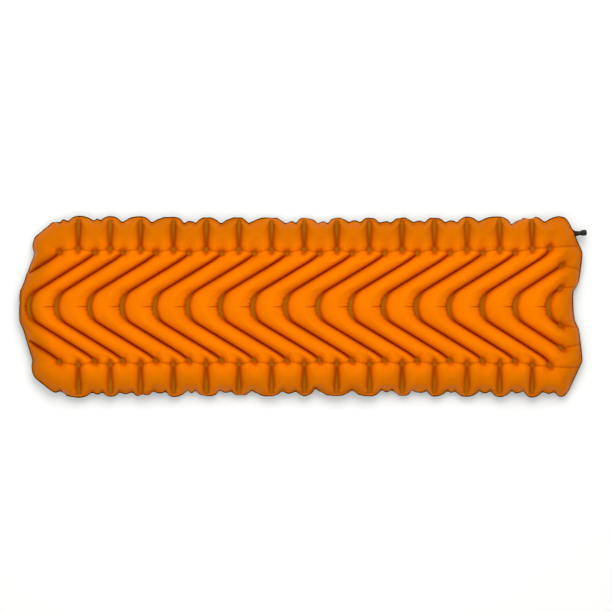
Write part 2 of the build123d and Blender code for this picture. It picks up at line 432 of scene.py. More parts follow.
class Spacing:
    """Points taken so far, hashed on a grid, so that a new one can be refused when it's too close."""

    def __init__(self, cell: float) -> None:
        self.cell = cell
        self.cells: dict[tuple[int, int], list[np.ndarray]] = {}

    def key(self, point: np.ndarray) -> tuple[int, int]:
        """The grid cell that holds a point."""
        return math.floor(point[0] / self.cell), math.floor(point[1] / self.cell)

    def crowded(self, point: np.ndarray, limit: float) -> bool:
        """Whether a point taken before lies within the limit."""
        column, row = self.key(point)
        around = [(column + i, row + j) for i in (-1, 0, 1) for j in (-1, 0, 1)]
        near = [q for cell in around for q in self.cells.get(cell, ())]
        return any((q[0] - point[0]) ** 2 + (q[1] - point[1]) ** 2 < limit ** 2 for q in near)

    def take(self, point: np.ndarray) -> None:
        """Remember a point."""
        self.cells.setdefault(self.key(point), []).append(point)


@dataclass
class ClothMesh:
    """The flat cut as triangles, with what each point needs to know about the welds."""

    flat: np.ndarray
    faces: np.ndarray
    welded_faces: np.ndarray
    welded: np.ndarray
    gap: np.ndarray  # distance to the edge of the nearest weld, negative inside it
    turn: np.ndarray  # distance along the nearest chevron from its apex
    broad: np.ndarray  # 0 beside a thin leg, 1 beside a broad weld or a dot
    inner: np.ndarray  # 1 where the nearest weld is inside the perimeter, 0 beside the perimeter
    apex: np.ndarray  # 1 just before a chevron's apex, 0 elsewhere
    rim: np.ndarray  # distance to the perimeter weld, negative in the welded margin
    fold: np.ndarray  # distance to the nearest fold between two dots


@dataclass
class Mesher:
    """Makes the cloth mesh of a flat pattern: points along the welds and an even lattice, triangulated."""

    pattern: FlatPattern
    size: float
    fine_half: float = 40 * MM  # the mesh is twice as fine this far to each side of the middle line
    fine_depth: float = 42 * MM  # and this far before each apex
    apex_reach: float = 55 * MM  # how far along its weld, to either side, an apex's wrinkles go

    def build(self) -> ClothMesh:
        """Lay out the points, triangulate them and sort the faces into welded and free.

        Returns:
            The finished mesh.
        """
        pattern, size = self.pattern, self.size
        seam = pattern.outline(size)
        edge = pattern.widened(seam, size)
        welds = pattern.welds()
        middles = np.concatenate([w.middle for w in welds])
        widths = np.concatenate([w.half_width for w in welds])
        tree = self.tree(middles)
        spacing = Spacing(size)
        fixed = [point for loop in (edge, seam) for point in loop]
        for point in fixed:
            spacing.take(point)
        for weld in welds:
            fixed += self.weld_points(weld, seam, spacing)
        fixed += self.fold_points(seam, spacing, tree, widths)
        lattice = self.lattice(seam, spacing, tree, widths)
        points = np.array(fixed + lattice)
        ring = [(i, (i + 1) % len(edge)) for i in range(len(edge))]
        result = delaunay_2d_cdt([Vector(p) for p in points], ring, [], 0, 1e-7)
        flat = np.array([tuple(v) for v in result[0]])
        free = np.array([bool(o) and o[0] >= len(fixed) for o in result[3]])
        faces = self.turned_up(flat, np.array([f for f in result[2] if len(f) == 3]))
        faces = faces[inside(flat[faces].mean(1), edge)]
        centres = flat[faces].mean(1)
        index, distance = self.nearest(tree, centres)
        in_weld = distance < widths[index] * 0.98
        welded_faces = in_weld | ~inside(centres, seam)
        welded = np.zeros(len(flat), bool)
        welded[faces[welded_faces].ravel()] = True
        welded_faces |= welded[faces].all(1)
        flat = self.relaxed(flat, faces, free & ~welded)
        return self.measured(flat, faces, welded_faces, welded, welds, seam)

    @staticmethod
    def tree(points: np.ndarray) -> kdtree.KDTree:
        """A search tree over flat points."""
        tree = kdtree.KDTree(len(points))
        for index, (x, y) in enumerate(points):
            tree.insert((x, y, 0), index)
        tree.balance()
        return tree

    @staticmethod
    def turned_up(flat: np.ndarray, faces: np.ndarray) -> np.ndarray:
        """The faces with their corners in order against the clock, and slivers dropped."""
        a, b, c = flat[faces[:, 0]], flat[faces[:, 1]], flat[faces[:, 2]]
        area = (b - a)[:, 0] * (c - a)[:, 1] - (b - a)[:, 1] * (c - a)[:, 0]
        faces = np.where(area[:, None] < 0, faces[:, ::-1], faces)
        return faces[np.abs(area) > 2e-10]

    def weld_points(self, weld: Weld, seam: np.ndarray, spacing: Spacing) -> list[np.ndarray]:
        """Points along both edges of a weld, closer together round its dots."""
        pattern = self.pattern
        run = weld.along()
        across = np.gradient(weld.middle, axis=0)
        across = np.stack([-across[:, 1], across[:, 0]], 1) / np.linalg.norm(across, axis=1)[:, None]
        offset = across * weld.half_width[:, None]
        edges = [(points, inside(points, seam)) for points in (weld.middle + offset, weld.middle - offset)]
        found, wait_until = [], 0.0
        for index, place in enumerate(run):
            if place < wait_until:
                continue
            to_end = min(place, run[-1] - place) if weld.two_ended else place
            near_dot = to_end < 2 * pattern.dot_radius
            near_apex = weld.two_ended and abs(place - run[-1] / 2) < self.fine_half
            wait_until = place + self.size * (0.5 if near_apex else 0.62 if near_dot else 0.9)
            limit = self.size * (0.5 if weld.half_width[index] > 4 * MM and not near_apex else 0.42)
            for points, on_fabric in edges:
                if on_fabric[index] and not spacing.crowded(points[index], limit):
                    spacing.take(points[index])
                    found.append(points[index])
        return found

    def fold_points(
        self, seam: np.ndarray, spacing: Spacing, tree: kdtree.KDTree, widths: np.ndarray,
    ) -> list[np.ndarray]:
        """Points along the folds, so that they come out sharp."""
        found = []
        for line in self.pattern.folds(0.75 * self.size):
            for point in line[inside(line, seam)]:
                _, index, distance = tree.find((*point, 0))
                if distance > widths[index] + 0.4 * self.size and not spacing.crowded(point, 0.5 * self.size):
                    spacing.take(point)
                    found.append(point)
        return found

    def lattice(
        self, seam: np.ndarray, spacing: Spacing, tree: kdtree.KDTree, widths: np.ndarray,
    ) -> list[np.ndarray]:
        """Even triangular lattices of points clear of the perimeter and the welds, finer before each apex."""
        low, high = seam.min(0), seam.max(0)
        kept = []
        for fine in (True, False):
            size = self.size / 2 if fine else self.size
            reach = self.fine_half if fine else high[1]
            rows = np.arange(-reach, reach, size * math.sqrt(3) / 2)
            points = np.array([
                (x, y)
                for number, y in enumerate(rows)
                for x in np.arange(low[0] + (number % 2) * size / 2, high[0], size)
            ])
            points = points[self.in_bend(points) == fine]
            for point in points[inside(points, seam)]:
                _, index, distance = tree.find((*point, 0))
                if distance > widths[index] + 0.45 * size and not spacing.crowded(point, 0.62 * size):
                    kept.append(point)
                    if fine:
                        spacing.take(point)
        return kept

    def in_bend(self, points: np.ndarray) -> np.ndarray:
        """Whether each point lies just before a chevron's apex, where the fabric wrinkles."""
        line = points[:, 0] - self.pattern.flat.offset(points[:, 1])
        ahead = self.pattern.apexes()[None, 1:] - line[:, None]
        return ((ahead > 0) & (ahead < self.fine_depth)).any(1) & (np.abs(points[:, 1]) < self.fine_half)

    @staticmethod
    def relaxed(
        flat: np.ndarray, faces: np.ndarray, free: np.ndarray, rounds: int = 12, pull: float = 0.6,
    ) -> np.ndarray:
        """The points with the free ones pulled towards the middle of their neighbours, round after round."""
        edges = np.concatenate([faces[:, [0, 1]], faces[:, [1, 2]], faces[:, [2, 0]]])
        edges = np.unique(np.sort(edges, 1), axis=0)
        both = np.concatenate([edges, edges[:, ::-1]])
        count = np.bincount(both[:, 0], minlength=len(flat)).clip(1)[:, None]
        for _ in range(rounds):
            total = np.zeros_like(flat)
            np.add.at(total, both[:, 0], flat[both[:, 1]])
            flat = np.where(free[:, None], (1 - pull) * flat + pull * total / count, flat)
        return flat

    def measured(
        self, flat: np.ndarray, faces: np.ndarray, welded_faces: np.ndarray, welded: np.ndarray,
        welds: list[Weld], seam: np.ndarray,
    ) -> ClothMesh:
        """The mesh with each point's distance to, place along and kind of its nearest weld.

        Args:
            flat: the points on the flat cut.
            faces: the triangles.
            welded_faces: which triangles are welded.
            welded: which points are welded.
            welds: the weld lines.
            seam: the perimeter weld's inner edge.

        Returns:
            The finished cloth mesh.
        """
        pattern = self.pattern
        fine_seam = even_loop(seam, 2 * MM)
        none, metre = np.zeros(len(fine_seam)), np.ones(len(fine_seam))
        middles = np.concatenate([w.middle for w in welds] + [fine_seam])
        widths = np.concatenate([w.half_width for w in welds] + [none])
        turns = np.concatenate([w.from_middle() for w in welds] + [metre])
        dots = np.concatenate([self.near_end(w) for w in welds] + [none])
        leg, full = pattern.leg_half_width, pattern.apex_half_width
        broad = np.maximum(np.clip((widths - leg) / (full - leg), 0, 1), dots)
        index, distance = self.nearest(self.tree(middles), flat)
        _, rim = self.nearest(self.tree(fine_seam), flat)
        _, fold = self.nearest(self.tree(np.concatenate(pattern.folds(1 * MM))), flat)
        on_pad = inside(flat, seam)
        line = flat[:, 0] - pattern.flat.offset(flat[:, 1])
        ahead = pattern.apexes()[None, :] - line[:, None]
        before = ((ahead > 0) & (ahead < 0.45 * pattern.pitch)).any(1)
        return ClothMesh(
            flat=flat,
            faces=faces,
            welded_faces=welded_faces,
            welded=welded,
            gap=np.where(on_pad, distance - widths[index], -distance),
            turn=turns[index],
            broad=broad[index],
            inner=(index < len(middles) - len(fine_seam)).astype(float),
            apex=np.exp(-(turns[index] / self.apex_reach) ** 4) * before,
            rim=np.where(on_pad, rim, -rim),
            fold=fold,
        )

    def near_end(self, weld: Weld) -> np.ndarray:
        """1 along the stretches of a weld that are its dots, 0 elsewhere."""
        run, reach = weld.along(), 2 * self.pattern.dot_radius
        far_end = (run[-1] - run < reach) & weld.two_ended
        return ((run < reach) | far_end).astype(float)

    @staticmethod
    def nearest(tree: kdtree.KDTree, points: np.ndarray) -> tuple[np.ndarray, np.ndarray]:
        """The number of the tree's nearest point to each point, and its distance."""
        found = [tree.find((x, y, 0))[1:] for x, y in points]
        return np.array([index for index, _ in found]), np.array([distance for _, distance in found])


# ------------------------------------------------------------------------------------------------- inflation


@dataclass
class Inflation:
    """Blows both sheets up together as cloth that remembers its flat cut. The welds are shared points."""

    pattern: FlatPattern
    mesh: ClothMesh
    frames: int = 40
    quality: int = 5
    pressure: float = 25.0
    stiffness: float = 250.0
    rise: float = 26 * MM

    def run(self, simulate: bool) -> tuple[np.ndarray, np.ndarray]:
        """Inflate the pad.

        Args:
            simulate: whether to run the cloth; otherwise the start shape is returned.

        Returns:
            The places of the upper sheet's points and of the lower sheet's points.
        """
        mesh = self.mesh
        free = ~mesh.welded
        count = len(mesh.flat)
        plane = self.pattern.drawn_together(mesh.flat)
        height = self.rise * (1 - np.exp(-np.maximum(mesh.gap, 0) / (22 * MM)))
        height = np.where(free, height, self.ruffle())
        upper = np.column_stack([plane, height])
        lower = upper * [1, 1, -1]
        lower_index = np.arange(count)
        lower_index[free] = count + np.arange(free.sum())
        if not simulate:
            return upper, np.where(free[:, None], lower, upper)
        start = np.concatenate([upper, lower[free]])
        flat = np.column_stack([mesh.flat, np.zeros(count)])
        flat = np.concatenate([flat, flat[free]])
        faces = np.concatenate([mesh.faces, lower_index[mesh.faces[~mesh.welded_faces]][:, ::-1]])
        pad = self.cloth(start, flat, faces, np.concatenate([free, np.ones(free.sum(), bool)]))
        scene = bpy.context.scene
        for frame in range(1, self.frames + 1):
            scene.frame_set(frame)
        blown = pad.evaluated_get(bpy.context.evaluated_depsgraph_get())
        places = np.empty(len(start) * 3, np.float32)
        blown.data.vertices.foreach_get("co", places)
        places = places.reshape(-1, 3).astype(float)
        mesh_data = pad.data
        bpy.data.objects.remove(pad)
        bpy.data.meshes.remove(mesh_data)
        scene.frame_set(1)
        return places[:count], places[lower_index]

    def ruffle(self) -> np.ndarray:
        """A small start height that lets the perimeter margin fold at the middle of each rail cell."""
        mesh = self.mesh
        phase = self.pattern.cell_phase(mesh.flat)
        outside = np.clip(-mesh.rim / self.pattern.flange, 0, 1)
        rail = self.pattern.rail_share(mesh.flat)
        wave = np.sin(mesh.flat[:, 0] * 190) + np.sin(mesh.flat[:, 0] * 83 + mesh.flat[:, 1] * 60)
        return 2.5 * MM * outside * wave * (0.3 + 0.7 * phase * (rail > 0.9))

    def cloth(
        self, start: np.ndarray, flat: np.ndarray, faces: np.ndarray, free: np.ndarray,
    ) -> bpy.types.Object:
        """The pad as one cloth object.

        Args:
            start: where the simulation starts.
            flat: the same points on the flat cut, which is the cloth's rest shape.
            faces: triangles of both sheets.
            free: which points the air presses on.

        Returns:
            The object, with its Cloth modifier set up.
        """
        data = bpy.data.meshes.new("inflating")
        data.from_pydata(start.tolist(), [], faces.tolist())
        pad = add_object("inflating", data)
        pad.shape_key_add(name="start")
        rest = pad.shape_key_add(name="flat cut")
        rest.data.foreach_set("co", flat.astype(np.float32).ravel())
        air = pad.vertex_groups.new(name="air")
        air.add(np.nonzero(free)[0].tolist(), 1.0, "REPLACE")
        cloth = pad.modifiers.new("cloth", "CLOTH")
        fabric = cloth.settings
        fabric.quality = self.quality
        fabric.mass = 0.15
        fabric.air_damping = 2.0
        fabric.tension_stiffness = self.stiffness
        fabric.compression_stiffness = 0.3 * self.stiffness
        fabric.shear_stiffness = 0.3 * self.stiffness
        fabric.bending_stiffness = 0.01
        fabric.use_pressure = True
        fabric.uniform_pressure_force = self.pressure
        fabric.vertex_group_pressure = "air"
        fabric.rest_shape_key = rest
        fabric.effector_weights.gravity = 0
        cloth.collision_settings.use_collision = False
        cloth.collision_settings.use_self_collision = False
        cloth.point_cache.frame_end = self.frames + 1
        return pad


@dataclass(frozen=True)
class ValveSeat:
    """Where the valve stands, read from the frame: a line in the plan, and heights about the weld plane.

    Distances along the line are counted outwards from the middle of the boot.
    """

    centre: tuple[float, float]
    axis: tuple[float, float]
    height: float
    half_length: float
    sections: tuple[tuple[float, float, float], ...] = (
        (-11.5 * MM, 18.0 * MM, 9.0 * MM),
        (-6.5 * MM, 18.0 * MM, 9.0 * MM),
        (2.5 * MM, 9.6 * MM, 8.5 * MM),
        (9.0 * MM, 7.9 * MM, 7.9 * MM),
        (11.5 * MM, 7.6 * MM, 7.6 * MM),
    )

    @staticmethod
    def from_frame(frame: dict) -> "ValveSeat":
        """Read the seat from the frame.

        Args:
            frame: the loaded frame.

        Returns:
            The valve's seat.
        """
        low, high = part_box("valve_boot")
        pump_seat = next(mount for mount in frame["record"]["mounts"] if mount["name"] == "pump_seat")
        axis = pump_seat["axis"][:2]
        centre = ((low.x + high.x) / 2, (low.y + high.y) / 2)
        return ValveSeat(centre, (axis[0], axis[1]), (low.z + high.z) / 2, 11.5 * MM)

    def section(self, along: np.ndarray) -> tuple[np.ndarray, np.ndarray]:
        """Half width and half height of the boot at each distance along the valve's line."""
        places, widths, heights = np.array(self.sections).T
        return np.interp(along, places, widths), np.interp(along, places, heights)

    def split(self, plan: np.ndarray) -> tuple[np.ndarray, np.ndarray]:
        """Distance of each point of the plan along the valve's line, and to its side."""
        axis = np.array(self.axis)
        away = plan - np.array(self.centre)
        return away @ axis, away @ np.array([-axis[1], axis[0]])


@dataclass
class PadShape:
    """Brings the inflated sheets to the frame's place and size, folds their rim and seats them on the valve.

    Places of folds within a rail cell are counted in cells, from the middle between two cross welds.
    """

    pattern: FlatPattern
    mesh: ClothMesh
    upper: np.ndarray
    lower: np.ndarray
    skin: float = 0.4 * MM  # half the thickness of two welded sheets
    ground_press: float = 1.03  # the lower sheet is this much deeper before the ground flattens it
    ground_clear: float = 0.2 * MM
    fold_depth: float = 3.6 * MM
    fold_width: float = 13 * MM
    rim_depth: float = 20 * MM  # how far inflation draws the rim in, between two cross welds
    rim_width: float = 26 * MM  # how far inwards the rim's folds reach
    first_fold: tuple[float, float] = (-0.22, -0.06)  # where a cell's first fold may stand
    second_fold: tuple[float, float] = (0.14, 0.28)  # where its second fold may stand
    single_share: float = 0.3  # share of the cells whose two folds stand together
    single_gap: float = 0.04
    depth_spread: tuple[float, float] = (0.85, 1.15)
    nick_depth: float = 7 * MM  # how far the head end's folds draw its rim in
    nick_width: float = 16 * MM
    valve_edge: float = 2.5 * MM  # where the rim meets the valve's neck, outwards from the boot's middle
    valve_reach: float = 30 * MM  # how far to the side the valve shapes the fabric
    valve_depth: float = 60 * MM  # and how far inwards
    valve_fade: float = 14 * MM  # how soon the rim's shift to the neck fades inwards
    valve_clear: float = 0.6 * MM  # room between the fabric and the boot

    def fit(self) -> None:
        """Move and scale both sheets into the box of the frame's sheets."""
        low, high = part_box("bottom_sheet")[0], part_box("top_sheet")[1]
        middle = (low.z + high.z) / 2
        self.level_welds()
        self.crease()
        self.scallop()
        across = np.abs(self.upper[:, 1]).max()
        start, end = self.upper[:, 0].min(), self.upper[:, 0].max()
        crown = np.percentile(self.upper[:, 2], 99.7)
        for sheet in (self.upper, self.lower):
            sheet[:, 0] = low.x + (sheet[:, 0] - start) * (high.x - low.x) / (end - start)
            sheet[:, 1] *= high.y / across
            sheet[:, 2] = middle + sheet[:, 2] * (high.z - middle) / crown
        self.part_welds(middle)
        pressed = middle + (self.lower[:, 2] - middle) * self.ground_press
        self.lower[:, 2] = np.maximum(pressed, low.z + self.ground_clear)
        self.upper[:, 2] = np.minimum(self.upper[:, 2], high.z + 2 * MM)

    def level_welds(self) -> None:
        """Bring the inner welds to one height, so that neither sheet passes through the other there."""
        share = self.mesh.welded * np.clip(self.mesh.rim / self.rim_depth, 0, 1)
        for sheet in (self.upper, self.lower):
            sheet[:, 2] *= 1 - share

    def crease(self) -> None:
        """Sink both sheets along the folds between the welds' dots."""
        mesh = self.mesh
        free = np.clip(mesh.gap / (6 * MM), 0, 1)
        depth = self.fold_depth * free * np.maximum(1 - mesh.fold / self.fold_width, 0) ** 1.5
        self.upper[:, 2] -= depth
        self.lower[:, 2] += depth

    def scallop(self) -> None:
        """Turn the rim's even waves into round bumps at the cross welds, with sharp folds between them."""
        mesh, pattern = self.mesh, self.pattern
        ends = pattern.leg_ends
        cell = pattern.cell(mesh.flat)
        number = np.round(cell).astype(int)
        place = cell - number
        even = self.rim_depth * (0.5 + 0.5 * np.cos(2 * math.pi * place))
        shift = np.zeros(len(cell))
        random = np.random.default_rng(7)
        for side in (1, -1):
            first = random.uniform(*self.first_fold, len(ends))
            single = random.random(len(ends)) < self.single_share
            second = np.where(single, first + self.single_gap, random.uniform(*self.second_fold, len(ends)))
            deep = self.rim_depth * random.uniform(*self.depth_spread, len(ends))
            wanted = self.bumps(place, first[number], second[number]) * deep[number]
            shift = np.where(np.sign(mesh.flat[:, 1]) == side, wanted - even, shift)
        along = mesh.flat[:, 0]
        regular = (along > ends[0]) & (along < ends[-3] + pattern.pitch / 2)
        near_rim = np.clip(1 - mesh.rim / self.rim_width, 0, 1)
        on_rail = pattern.rail_share(mesh.flat) > 0.5
        pull = np.where(regular, shift * (near_rim * on_rail), 0) * np.sign(mesh.flat[:, 1])
        near_fold = np.maximum(1 - mesh.fold / self.nick_width, 0) ** 1.5
        nick = self.nick_depth * near_fold * near_rim * (along > ends[-1])
        for sheet in (self.upper, self.lower):
            sheet[:, 1] -= pull
            sheet[:, 0] -= nick

    @staticmethod
    def bumps(place: np.ndarray, first: np.ndarray, second: np.ndarray) -> np.ndarray:
        """Share by which the rim is drawn in: 0 at the cross welds, 1 at the folds, less between them."""
        rising = np.clip((place + 0.5) / (first + 0.5), 0, 1) ** 2.2
        falling = np.clip((0.5 - place) / (0.5 - second), 0, 1) ** 2.2
        bump = np.sin(math.pi * np.clip((place - first) / (second - first), 0, 1))
        between = 1 - 0.4 * bump * (second - first > 0.1)
        return np.where(place < first, rising, np.where(place > second, falling, between))

    def part_welds(self, middle: float) -> None:
        """Lay the two sheets against each other, not in each other, where they are welded."""
        welded = self.mesh.welded
        for sheet, clear, skin in ((self.upper, np.maximum, self.skin), (self.lower, np.minimum, -self.skin)):
            sheet[:, 2] = np.where(welded, sheet[:, 2], clear(sheet[:, 2], middle)) + skin

    def seat_valve(self, seat: ValveSeat) -> None:
        """Bring the sheets' rim to the valve's neck and lift them clear of the boot.

        Args:
            seat: the valve's seat.
        """
        for sheet, sign in ((self.upper, 1), (self.lower, -1)):
            along, across = seat.split(sheet[:, :2])
            near = np.abs(across) < 6 * MM
            edge = along[near & (self.mesh.rim < 0)].max()
            pull = (self.valve_edge - edge) * np.maximum(1 - (across / self.valve_reach) ** 2, 0) ** 2
            pull *= np.exp(-(((edge - along) / self.valve_fade) ** 2)) * (along > -100 * MM)
            sheet[:, :2] += pull[:, None] * np.array(seat.axis)
            along = along + pull
            half_width, half_height = seat.section(along)
            lens = half_height * np.maximum(1 - (across / half_width) ** 2, 0) + self.valve_clear
            reach = np.clip((seat.half_length + 4 * MM + along) / (4 * MM), 0, 1)
            lens = lens * reach * np.clip((self.valve_reach - np.abs(across)) / (12 * MM), 0, 1)
            lifted = np.maximum((sheet[:, 2] - seat.height) * sign, lens)
            close = (np.abs(across) < self.valve_reach) & (along > -self.valve_depth)
            sheet[:, 2] = np.where(close, seat.height + sign * lifted, sheet[:, 2])


# -------------------------------------------------------------------------------------------------- finishes


@dataclass(frozen=True)
class Finish:
    """What every finish shares: a named material with a principled shader."""

    name: str

    def shader(self, **inputs: object) -> tuple[bpy.types.Material, bpy.types.NodeTree, bpy.types.Node]:
        """A new material with its principled shader set.

        Args:
            inputs: the shader's own values by input name, with _ for a space.

        Returns:
            The material, its node tree and the shader node.
        """
        material = bpy.data.materials.new(self.name)
        material.use_nodes = True
        tree = material.node_tree
        shader = tree.nodes["Principled BSDF"]
        for name, value in inputs.items():
            shader.inputs[name.replace("_", " ")].default_value = value
        return material, tree, shader

    @staticmethod
    def mix(
        tree: bpy.types.NodeTree, share: bpy.types.NodeSocket, first: object, second: object,
    ) -> bpy.types.NodeSocket:
        """The colour between first and second at the given share."""
        node = add_node(tree, "ShaderNodeMix", {"data_type": "RGBA"}, _0=share, _6=first, _7=second)
        return node.outputs[2]

    @staticmethod
    def bump(
        tree: bpy.types.NodeTree, shader: bpy.types.Node, relief: bpy.types.Node, strength: float,
    ) -> None:
        """Let a pattern of 0.05 mm relief turn the shader's normal."""
        node = add_node(
            tree, "ShaderNodeBump", None, Strength=strength, Distance=0.05 * MM, Height=relief.outputs[0],
        )
        tree.links.new(node.outputs[0], shader.inputs["Normal"])


@dataclass(frozen=True)
class CoatedPolyester(Finish):
    """75 denier polyester, dyed and coated inside with TPU: a dense plain weave with a soft satin face.

    The shine takes the dye's colour. Where two sheets are welded, the coating melts through and the fabric
    darkens: broad welds show olive brown. A thin weld lies deep between two chambers, so it is painted in the
    shade colour, as a dark line of painted shade. Creases, folds and puckers get painted shade as well.
    Towards the perimeter the face is painted in the duller rail colour, as painted shade on the slopes of the
    rails and the head end that turn from the light, and a thin dark outline of painted shade runs along the
    welded margin's outer edge.
    """

    face: str
    # painted shade: the duller colour the face turns to towards the perimeter
    rail: str
    # the colour of the painted shade in creases, folds, puckers and thin welds
    shade: str
    weld: str
    # painted shade: the thin dark outline along the welded margin's outer edge
    edge: str
    shine: str
    thread: float = 1.6 * MM  # the real threads are 0.25 mm apart, too fine to show, so these are coarser

    def build(self) -> bpy.types.Material:
        """Make the material."""
        material, tree, shader = self.shader(
            Roughness=0.45, Specular_IOR_Level=0.12, Specular_Tint=linear(self.shine),
            Sheen_Weight=0.05, Sheen_Roughness=0.4, Sheen_Tint=linear(self.shine),
        )
        cut = add_node(tree, "ShaderNodeUVMap", {"uv_map": "flat cut"}).outputs[0]
        uneven = add_node(tree, "ShaderNodeTexNoise", None, Vector=cut, Scale=9.0, Detail=3.0, Roughness=0.55)
        inner = self.attribute(tree, "inner")
        weld = self.product(tree, self.ramp(tree, "gap", 0.4, 1.7), inner)
        # Painted shade: beside each inner weld the face is mixed towards the shade colour, for the shade in
        # the crease.
        crease = self.product(tree, self.product(tree, self.ramp(tree, "gap", 0.0, 17.0), inner), 0.55)
        # Painted shade along the folds between the dots.
        fold = self.product(tree, self.ramp(tree, "fold", 0.0, 6.5), 0.38)
        # Painted shade: from 115 mm to 25 mm inside the perimeter the face turns to the duller rail colour,
        # for slopes turned away from the light.
        face = self.mix(tree, self.ramp(tree, "rim", 25.0, 115.0), linear(self.face), linear(self.rail))
        face = self.mix(tree, crease, face, linear(self.shade))
        face = self.mix(tree, fold, face, linear(self.shade))
        # Painted shade in the puckers, the deeper ones darker.
        pucker = self.product(tree, self.ramp(tree, "pucker", 1.3, 0.3), 0.5)
        face = self.mix(tree, pucker, face, linear(self.shade))
        # Thin welds take the shade colour, painted shade in the narrow gap between two chambers; broad welds
        # and dots keep the olive weld colour.
        welded = self.mix(tree, self.attribute(tree, "broad"), linear(self.shade), linear(self.weld))
        face = self.mix(tree, weld, face, welded)
        # Painted shade: a thin dark outline along the outer edge of the welded margin.
        face = self.mix(tree, self.ramp(tree, "rim", -5.4, -2.4), face, linear(self.edge))
        tone = add_node(
            tree, "ShaderNodeMapRange", None, _0=uneven.outputs[0], _1=0.3, _2=0.7, _3=0.94, _4=1.04,
        )
        toned = add_node(tree, "ShaderNodeHueSaturation", None, Value=tone.outputs[0], Color=face)
        tree.links.new(toned.outputs[0], shader.inputs["Base Color"])
        tree.links.new(self.weave(tree, cut), shader.inputs["Normal"])
        return material

    def ramp(self, tree: bpy.types.NodeTree, name: str, full: float, none: float) -> bpy.types.NodeSocket:
        """A share that goes from 1 to 0 as a stored distance goes from full to none, both in millimetres."""
        node = add_node(tree, "ShaderNodeMapRange", {"interpolation_type": "SMOOTHSTEP"},
                        _0=self.attribute(tree, name), _1=full * MM, _2=none * MM, _3=1.0, _4=0.0)
        return node.outputs[0]

    @staticmethod
    def product(
        tree: bpy.types.NodeTree, first: bpy.types.NodeSocket, second: object,
    ) -> bpy.types.NodeSocket:
        """One share times another."""
        return add_node(tree, "ShaderNodeMath", {"operation": "MULTIPLY"}, _0=first, _1=second).outputs[0]

    @staticmethod
    def attribute(tree: bpy.types.NodeTree, name: str) -> bpy.types.NodeSocket:
        """The value that a piece's mesh stores under this name."""
        return add_node(tree, "ShaderNodeAttribute", {"attribute_name": name}).outputs["Fac"]

    def weave(self, tree: bpy.types.NodeTree, cut: bpy.types.NodeSocket) -> bpy.types.NodeSocket:
        """The normal of a plain weave whose threads run along and across the flat cut."""
        height = None
        for direction in ("X", "Y"):
            wave = add_node(tree, "ShaderNodeTexWave", {"bands_direction": direction}, Vector=cut,
                            Scale=0.314 / self.thread, Distortion=0.6, Detail=1.0)
            if height is None:
                height = wave.outputs["Fac"]
            else:
                height = add_node(tree, "ShaderNodeMath", {"operation": "MULTIPLY"}, _0=height,
                                  _1=wave.outputs["Fac"]).outputs[0]
        bump = add_node(tree, "ShaderNodeBump", None, Strength=0.25, Distance=0.15 * MM, Height=height)
        return bump.outputs[0]


@dataclass(frozen=True)
class MouldedPlastic(Finish):
    """Injection-moulded ABS: smooth and glossy, with faint flow marks in its shine."""

    colour: str
    roughness: float = 0.22
    reflection: float = 0.25

    def build(self) -> bpy.types.Material:
        """Make the material."""
        material, tree, shader = self.shader(
            Base_Color=linear(self.colour), IOR=1.54, Specular_IOR_Level=self.reflection,
        )
        place = add_node(tree, "ShaderNodeTexCoord").outputs["Object"]
        flow = add_node(tree, "ShaderNodeTexNoise", None, Vector=place, Scale=180.0, Detail=2.0)
        rough = add_node(tree, "ShaderNodeMapRange", None, _0=flow.outputs[0], _1=0.3, _2=0.7,
                         _3=self.roughness - 0.05, _4=self.roughness + 0.08)
        tree.links.new(rough.outputs[0], shader.inputs["Roughness"])
        self.bump(tree, shader, flow, 0.1)
        return material


@dataclass(frozen=True)
class MouldedRubber(Finish):
    """Moulded TPU or silicone: matt to satin, with a fine spark-eroded grain."""

    colour: str
    roughness: float = 0.6
    reflection: float = 0.25

    def build(self) -> bpy.types.Material:
        """Make the material."""
        material, tree, shader = self.shader(
            Base_Color=linear(self.colour), Roughness=self.roughness, IOR=1.5,
            Specular_IOR_Level=self.reflection,
        )
        place = add_node(tree, "ShaderNodeTexCoord").outputs["Object"]
        grain = add_node(tree, "ShaderNodeTexNoise", None, Vector=place, Scale=1500.0, Detail=1.0)
        self.bump(tree, shader, grain, 0.3)
        return material


@dataclass(frozen=True)
class PaintedBoard(Finish):
    """The studio's floor: matt white board with a barely visible mottle."""

    colour: str

    def build(self) -> bpy.types.Material:
        """Make the material."""
        material, tree, shader = self.shader(Roughness=0.9)
        place = add_node(tree, "ShaderNodeTexCoord").outputs["Object"]
        mottle = add_node(tree, "ShaderNodeTexNoise", None, Vector=place, Scale=2.0, Detail=2.0)
        tone = add_node(tree, "ShaderNodeMapRange", None, _0=mottle.outputs[0], _3=0.99, _4=1.01)
        paint = linear(self.colour)
        colour = add_node(tree, "ShaderNodeHueSaturation", None, Value=tone.outputs[0], Color=paint)
        tree.links.new(colour.outputs[0], shader.inputs["Base Color"])
        return material


# ---------------------------------------------------------------------------------------------------- pieces


